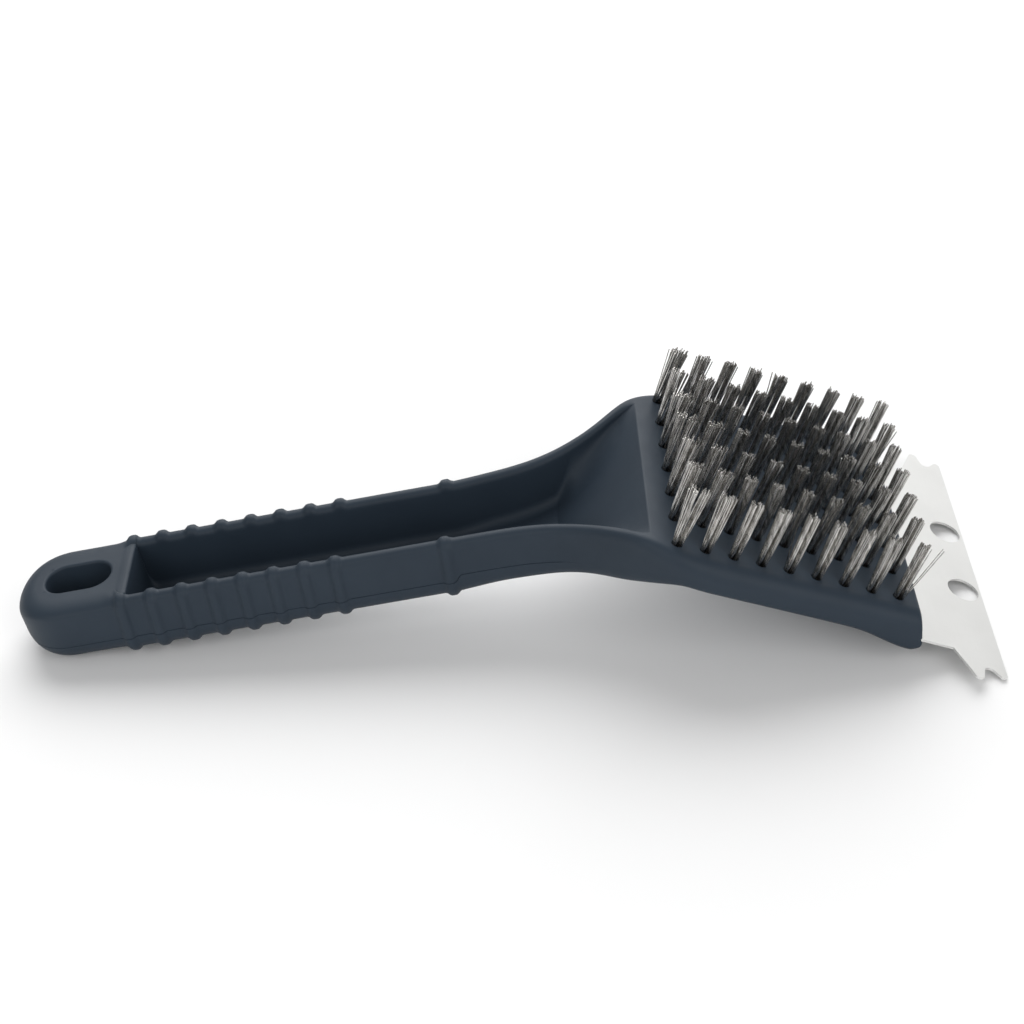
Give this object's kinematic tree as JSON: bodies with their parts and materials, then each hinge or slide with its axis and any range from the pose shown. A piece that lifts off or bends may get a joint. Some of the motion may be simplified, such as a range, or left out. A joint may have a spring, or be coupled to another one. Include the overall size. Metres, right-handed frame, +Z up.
{
  "type": "grill cleaning brush",
  "caption": "Hand brush for grill grates: angled hollow plastic handle with hang slot, wire tufts stapled into a flared head, steel scraper blade at its end.",
  "frame": {"origin": "on the surface the brush lies on, under the middle of its bounding box", "axes": "+X along the brush from the handle's tip to the scraper, +Y across it, +Z up, with the bristles facing up"},
  "size_m": [0.2767, 0.1042, 0.0615],
  "materials": {
    "handle_plastic": "fine matte moulded plastic, dark slate grey",
    "blade_steel": "plain rolled stainless sheet with a satin face",
    "wire_steel": "bright drawn stainless wire",
    "anchor_steel": "plain flat steel wire"
  },
  "bodies": {
    "root": {"handle_body": "handle_plastic", "scraper_blade": "blade_steel", "tuft_column_1": "wire_steel", "tuft_column_2": "wire_steel", "tuft_column_3": "wire_steel", "tuft_column_4": "wire_steel", "tuft_column_5": "wire_steel", "tuft_column_6": "wire_steel", "tuft_column_7": "wire_steel", "tuft_column_8": "wire_steel", "tuft_column_9": "wire_steel", "tuft_anchors_1": "anchor_steel", "tuft_anchors_2": "anchor_steel", "tuft_anchors_3": "anchor_steel", "tuft_anchors_4": "anchor_steel", "tuft_anchors_5": "anchor_steel", "tuft_anchors_6": "anchor_steel", "tuft_anchors_7": "anchor_steel", "tuft_anchors_8": "anchor_steel", "tuft_anchors_9": "anchor_steel"}
  },
  "joints": []
}
